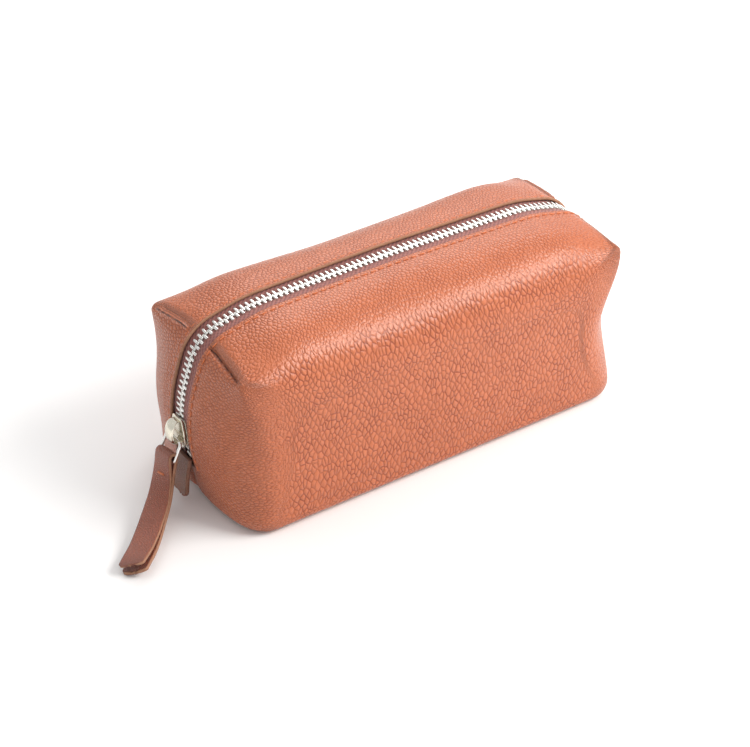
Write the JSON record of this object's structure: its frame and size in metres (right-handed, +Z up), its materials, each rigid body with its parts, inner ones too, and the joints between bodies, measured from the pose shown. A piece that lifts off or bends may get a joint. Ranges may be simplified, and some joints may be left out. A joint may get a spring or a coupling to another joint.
{
  "type": "travel organizer bag",
  "caption": "Boxy zipped leather pouch for travel, with a metal zip over the top and down both ends, and a leather pull strap.",
  "frame": {"origin": "middle of the flat bottom face that the bag stands on", "axes": "+X along the bag, away from the end where the slider is parked; -Y out of the front panel; +Z up through the zip"},
  "size_m": [0.2511, 0.082, 0.0867],
  "materials": {
    "leather": "pebbled grain, semi-matt",
    "lining": "plain woven cotton",
    "zip_tape": "twill tape",
    "nickel": "polished nickel plate",
    "thread": "twisted polyester thread"
  },
  "bodies": {
    "bag": {"front_panel": "leather", "back_panel": "leather", "lining_front": "lining", "lining_back": "lining", "zip_tape_front": "zip_tape", "zip_tape_back": "zip_tape", "zip_teeth_front": "nickel", "zip_teeth_back": "nickel", "zip_top_stops": "nickel", "zip_bottom_stop": "nickel", "end_tab_near": "leather", "end_tab_far": "leather", "topstitch_front": "thread", "topstitch_back": "thread"},
    "slider": {"slider_body": "nickel", "slider_crown": "nickel", "slider_lock_spring": "nickel"},
    "ring": {"pull_ring": "nickel"},
    "strap": {"pull_strap": "leather", "pull_tack": "thread"}
  },
  "joints": [
    {"name": "slider_travel", "type": "hinge", "parent": "bag", "child": "slider", "pos_m": [-0.0083, 0, 0.038], "axis": [0, 1, 0], "range_deg": [-0.5, 15], "deforming": ["zip_teeth_front", "zip_teeth_back"]},
    {"name": "ring_swing", "type": "hinge", "parent": "slider", "child": "ring", "pos_m": [-0.10575, 0, 0.03385], "axis": [0, 1, 0], "range_deg": [-10, 110]},
    {"name": "strap_swing", "type": "hinge", "parent": "ring", "child": "strap", "pos_m": [-0.10964, 0, 0.02551], "axis": [0, 1, 0], "range_deg": [-10, 30]}
  ]
}
